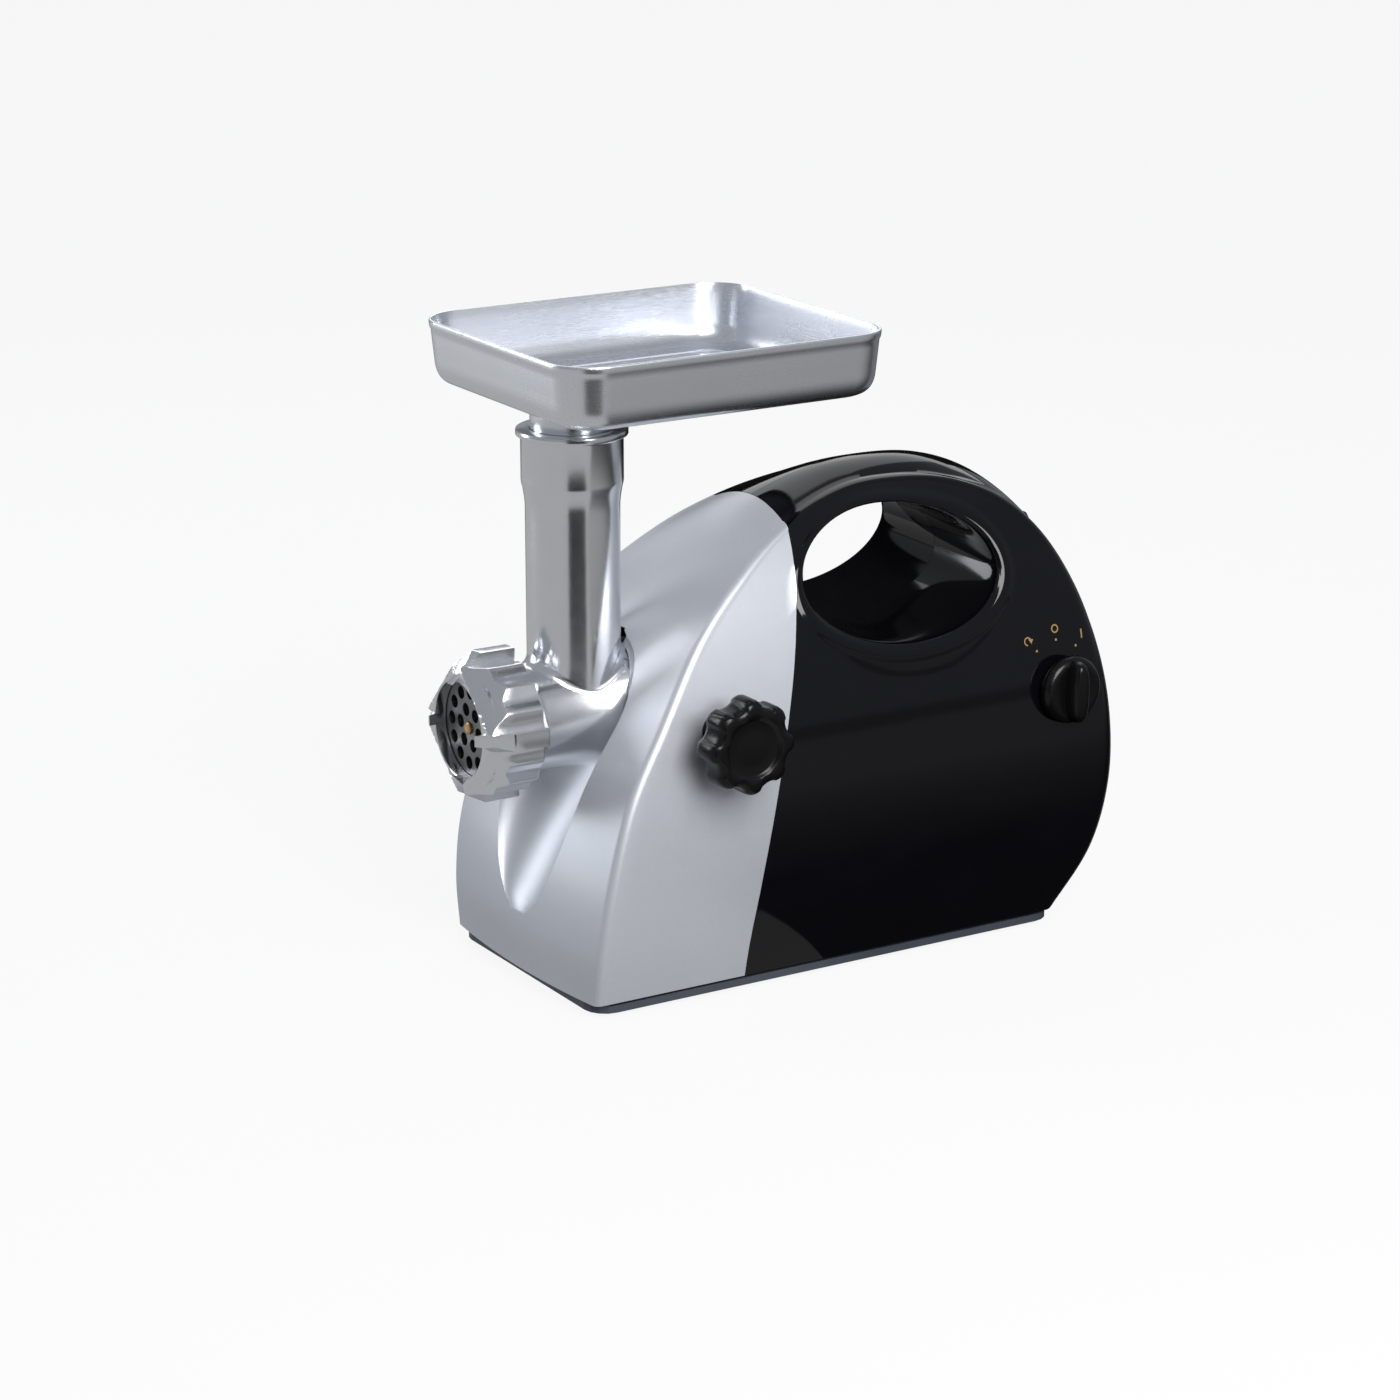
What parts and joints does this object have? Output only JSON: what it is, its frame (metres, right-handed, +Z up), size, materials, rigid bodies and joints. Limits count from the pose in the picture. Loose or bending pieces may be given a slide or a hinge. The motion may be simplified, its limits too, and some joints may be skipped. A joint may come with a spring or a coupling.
{
  "type": "electric meat grinder",
  "caption": "Electric meat grinder with an egg-sided housing and handle opening, geared motor, removable screw-fed head, cutting plate, threaded ring and feed tray.",
  "frame": {"origin": "on the floor, under the middle of the whole object's bounding box", "axes": "+Z up; -Y the grinding end, where the meat comes out; +X the side with the lock knob and the switch"},
  "size_m": [0.2146, 0.4212, 0.385],
  "materials": {
    "satin_silver_paint": "satin",
    "gloss_black_shell": "gloss",
    "knob_black": "semi gloss",
    "slate_base": "matt",
    "rubber": "matt",
    "polished_aluminium": "polished",
    "satin_aluminium": "brushed",
    "ground_steel": "ground",
    "lamination_steel": "varnished laminations",
    "enamelled_copper": "enamelled copper",
    "sintered_bronze": "sintered",
    "white_nylon": "natural",
    "gearbox_casting": "as cast",
    "fan_plastic": "matt",
    "carbon": "pressed carbon",
    "switch_moulding": "matt"
  },
  "bodies": {
    "base": {"front_shell": "satin_silver_paint", "left_shell": "gloss_black_shell", "right_shell": "gloss_black_shell", "base_plate": "slate_base", "foot_1": "rubber", "foot_2": "rubber", "foot_3": "rubber", "foot_4": "rubber", "base_screw_1": "ground_steel", "base_screw_2": "ground_steel", "base_screw_3": "ground_steel", "base_screw_4": "ground_steel", "rear_vent": "gloss_black_shell", "cord_inlet": "rubber", "gearbox_case": "gearbox_casting", "gearbox_back": "gearbox_casting", "motor_bracket": "gearbox_casting", "output_bush_front": "sintered_bronze", "output_bush_back": "sintered_bronze", "motor_bearing_front": "ground_steel", "motor_bearing_rear": "ground_steel", "stator_core": "lamination_steel", "field_coil_top": "enamelled_copper", "field_coil_bottom": "enamelled_copper", "brush_holder_left": "white_nylon", "brush_holder_right": "white_nylon", "carbon_brush_left": "carbon", "carbon_brush_right": "carbon", "rotary_switch": "switch_moulding", "motor_bolt_1": "ground_steel", "motor_bolt_2": "ground_steel"},
    "armature": {"armature_shaft": "ground_steel", "armature_core": "lamination_steel", "winding_front": "enamelled_copper", "winding_rear": "enamelled_copper", "commutator": "enamelled_copper", "cooling_fan": "fan_plastic", "motor_pinion": "ground_steel"},
    "idler": {"idle_shaft": "ground_steel", "idle_wheel": "white_nylon", "idle_pinion": "ground_steel"},
    "drive": {"output_shaft": "ground_steel", "output_wheel": "white_nylon"},
    "head": {"grinder_head": "polished_aluminium"},
    "feed_screw": {"auger": "polished_aluminium", "auger_pin": "sintered_bronze", "auger_washer": "white_nylon", "cutting_blade": "ground_steel"},
    "plate": {"cutting_plate": "ground_steel"},
    "ring": {"screw_ring": "polished_aluminium"},
    "tray": {"hopper_tray": "satin_aluminium"},
    "lock": {"lock_screw": "ground_steel"},
    "lock_grip": {"lock_knob": "knob_black"},
    "switch": {"switch_knob": "knob_black"}
  },
  "joints": [
    {"name": "head_slide", "type": "slide", "parent": "base", "child": "head", "axis": [0, -1, 0], "range_m": [0, 0.06]},
    {"name": "tray_lift", "type": "slide", "parent": "head", "child": "tray", "axis": [0, 0, 1], "range_m": [0, 0.08]},
    {"name": "plate_slide", "type": "slide", "parent": "head", "child": "plate", "axis": [0, -1, 0], "range_m": [0, 0.012]},
    {"name": "ring_turn", "type": "hinge", "parent": "plate", "child": "ring", "pos_m": [-0.01425, -0.18274, 0.161], "axis": [0, -1, 0], "range_deg": [-1, 1081]},
    {"name": "feed_screw_spin", "type": "hinge", "parent": "head", "child": "feed_screw", "pos_m": [-0.01425, -0.14274, 0.161], "axis": [0, 1, 0], "continuous": true},
    {"name": "drive_spin", "type": "hinge", "parent": "base", "child": "drive", "pos_m": [-0.01425, -0.05274, 0.161], "axis": [0, 1, 0], "continuous": true},
    {"name": "idler_spin", "type": "hinge", "parent": "base", "child": "idler", "pos_m": [-0.03964, -0.04274, 0.11909], "axis": [0, 1, 0], "continuous": true},
    {"name": "armature_spin", "type": "hinge", "parent": "base", "child": "armature", "pos_m": [-0.01425, 0.04726, 0.095], "axis": [0, 1, 0], "continuous": true},
    {"name": "lock_screw_travel", "type": "slide", "parent": "base", "child": "lock", "axis": [1, 0, 0], "range_m": [-0.003, 0.006]},
    {"name": "lock_knob_turn", "type": "hinge", "parent": "lock", "child": "lock_grip", "pos_m": [0.09575, -0.08024, 0.161], "axis": [1, 0, 0], "range_deg": [-541, 1081]},
    {"name": "switch_turn", "type": "hinge", "parent": "base", "child": "switch", "pos_m": [0.08075, 0.16376, 0.151], "axis": [1, 0, 0], "range_deg": [-45, 45]}
  ],
  "couplings": [
    {"joint": "feed_screw_spin", "follows": "drive_spin", "ratio": 1},
    {"joint": "idler_spin", "follows": "drive_spin", "ratio": -3.6667},
    {"joint": "armature_spin", "follows": "drive_spin", "ratio": 16.867},
    {"joint": "ring_turn", "follows": "plate_slide", "rad_per_m": 1570.8},
    {"joint": "lock_knob_turn", "follows": "lock_screw_travel", "rad_per_m": 3141.6}
  ]
}
